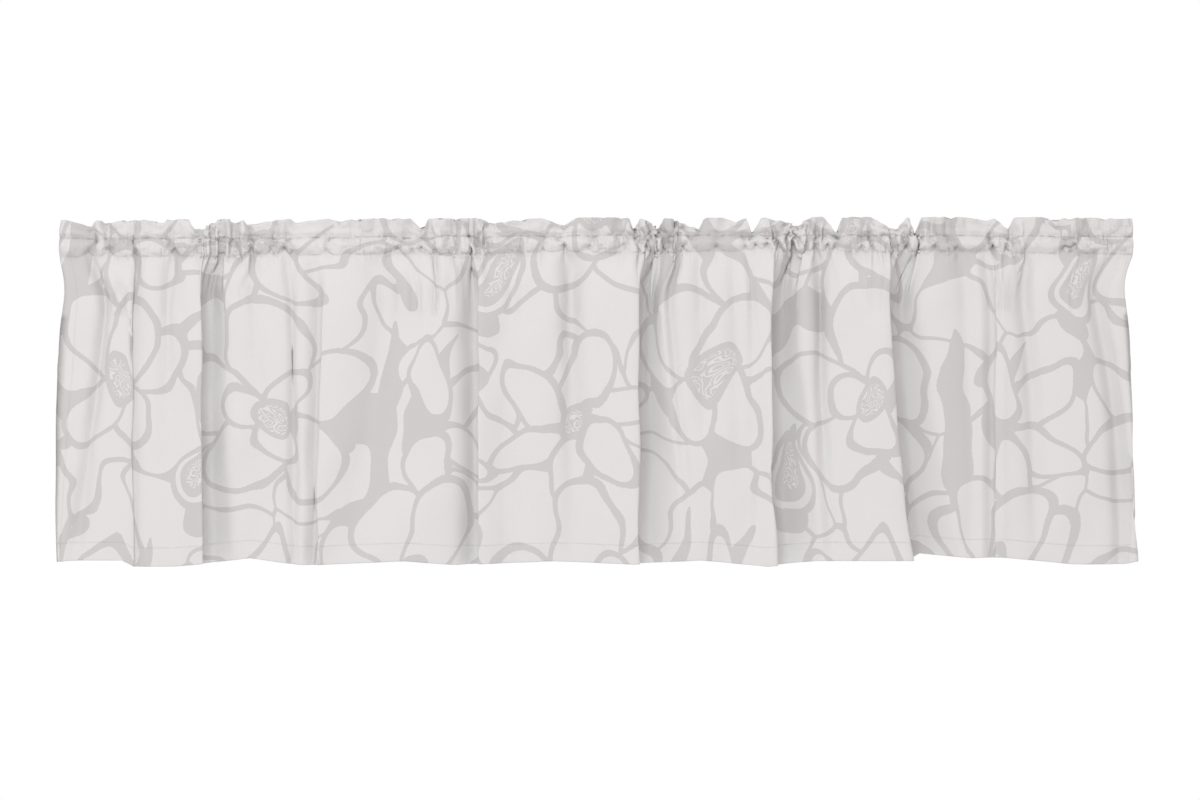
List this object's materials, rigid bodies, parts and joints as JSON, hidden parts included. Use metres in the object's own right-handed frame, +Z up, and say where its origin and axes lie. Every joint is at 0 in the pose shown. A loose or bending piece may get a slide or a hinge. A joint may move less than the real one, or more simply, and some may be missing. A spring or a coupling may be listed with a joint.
{
  "type": "window valance",
  "caption": "Short window valance of printed cotton, gathered on a rod pocket under a ruffled heading and hanging in uneven folds.",
  "frame": {"origin": "on the axis of the rod pocket, at the middle of its length", "axes": "+X along the rod to the viewer's right, +Y away from the room towards the window, +Z up"},
  "size_m": [1.4038, 0.0453, 0.454],
  "materials": {
    "printed_cotton": "matt plain-weave cotton, off-white with a light grey print"
  },
  "bodies": {
    "root": {"heading": "printed_cotton", "skirt": "printed_cotton"}
  },
  "joints": []
}
